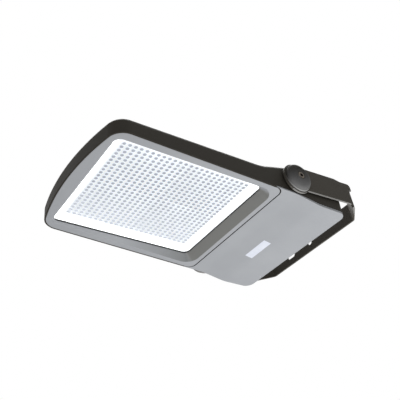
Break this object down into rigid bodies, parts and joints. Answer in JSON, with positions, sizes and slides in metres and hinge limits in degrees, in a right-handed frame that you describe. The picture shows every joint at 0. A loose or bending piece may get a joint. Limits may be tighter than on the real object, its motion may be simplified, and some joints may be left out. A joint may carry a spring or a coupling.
{
  "type": "flood light",
  "caption": "Flat LED area flood light: bowed cast housing, framed glass over a lens grid, curved gear cover at the rear, and a U bracket in which the head tilts.",
  "frame": {"origin": "middle of the bracket's centre hole, on the crossbar's outer face, which bears on the wall or pole plate", "axes": "+X points from the head through the crossbar to what it is mounted on, +Y along the pivot axis to the far side, +Z towards the back of the head; the lit face looks along -Z"},
  "size_m": [0.608, 0.375, 0.1089],
  "materials": {
    "housing_paint": "fine textured dark grey-brown powder coat on a die casting",
    "light_paint": "satin light grey powder coat on a die casting",
    "clear_glass": "clear toughened glass",
    "lens_plastic": "clear moulded lenses, lit from behind",
    "reflector_white": "white coated sheet",
    "board_aluminium": "white coated metal-core board",
    "seal_rubber": "matte silicone",
    "plain_steel": "zinc plated",
    "potted_plastic": "potted plastic case",
    "black_plastic": "matte black nylon",
    "washer_plastic": "matte nylon",
    "bracket_paint": "dark grey-brown powder coat on steel"
  },
  "bodies": {
    "bracket": {"yoke_bracket": "bracket_paint", "pivot_cap_near": "bracket_paint", "pivot_cap_far": "bracket_paint"},
    "head": {"rear_housing": "housing_paint", "front_frame": "light_paint", "front_glass": "clear_glass", "glass_gasket": "seal_rubber", "frame_gasket": "seal_rubber", "gear_cover": "light_paint", "cover_gasket": "seal_rubber", "reflector_tray": "reflector_white", "led_board_1": "board_aluminium", "led_board_2": "board_aluminium", "led_board_3": "board_aluminium", "led_board_4": "board_aluminium", "lens_plate_1": "lens_plastic", "lens_plate_2": "lens_plastic", "lens_plate_3": "lens_plastic", "lens_plate_4": "lens_plastic", "gear_tray": "plain_steel", "led_driver": "potted_plastic", "terminal_block": "potted_plastic", "surge_protector": "potted_plastic", "cable_gland": "black_plastic", "gland_nut": "black_plastic", "gland_seal": "seal_rubber", "gland_locknut": "black_plastic", "breather_vent": "black_plastic", "lead_grommet": "seal_rubber", "frame_screws": "plain_steel", "cover_screws": "plain_steel", "pivot_screw_near": "plain_steel", "pivot_screw_far": "plain_steel", "pivot_washer_near": "washer_plastic", "pivot_washer_far": "washer_plastic"}
  },
  "joints": [
    {"name": "tilt", "type": "hinge", "parent": "bracket", "child": "head", "pos_m": [-0.193, 0, 0.0105], "axis": [0, 1, 0], "range_deg": [-90, 90]}
  ]
}
